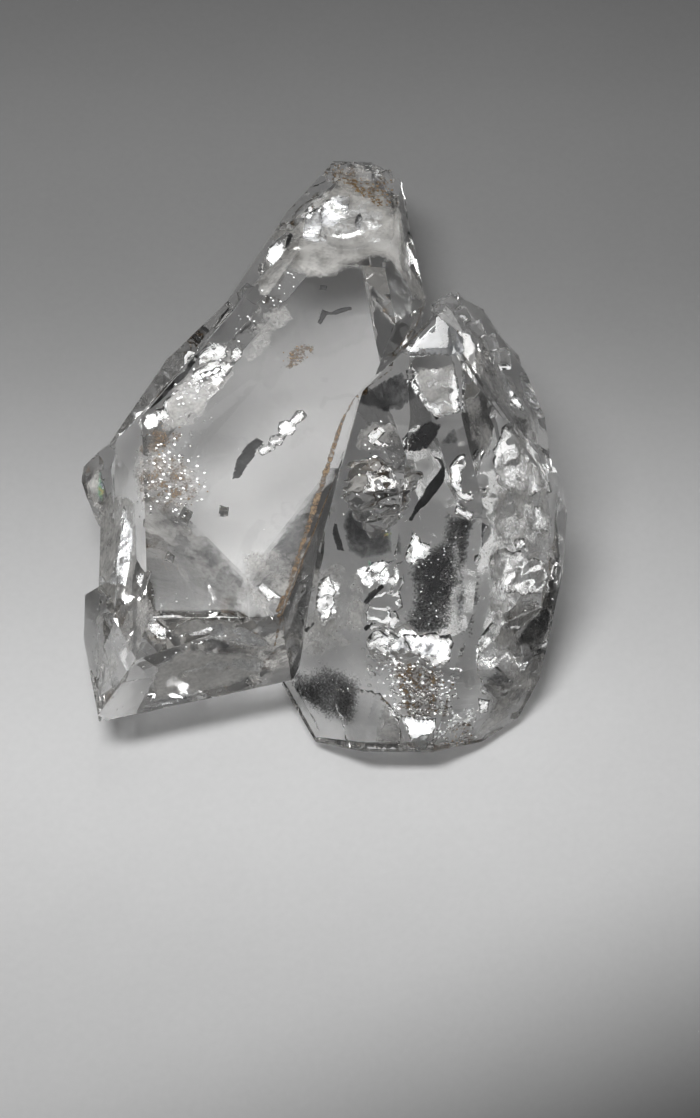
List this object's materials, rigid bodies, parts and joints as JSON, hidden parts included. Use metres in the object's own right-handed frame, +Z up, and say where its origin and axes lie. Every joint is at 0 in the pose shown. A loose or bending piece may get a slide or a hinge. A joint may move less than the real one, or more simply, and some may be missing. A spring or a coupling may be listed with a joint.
{
  "type": "quartz crystal cluster",
  "caption": "Natural clear quartz crystals grown together into one solid, short and double-ended, lying on its flat back face; a display and collector's specimen.",
  "frame": {"origin": "middle of the group's outline, on the surface that it rests on", "axes": "+Z up, away from the surface; +Y from the rounded end of the crystals to the broken tip; +X towards the stubby crystal"},
  "size_m": [0.025, 0.0348, 0.0157],
  "materials": {
    "clear_quartz": "water-clear crystal with glassy growth faces, iron-brown stain in the seam and at the broken tip"
  },
  "bodies": {
    "root": {"quartz_cluster": "clear_quartz"}
  },
  "joints": []
}
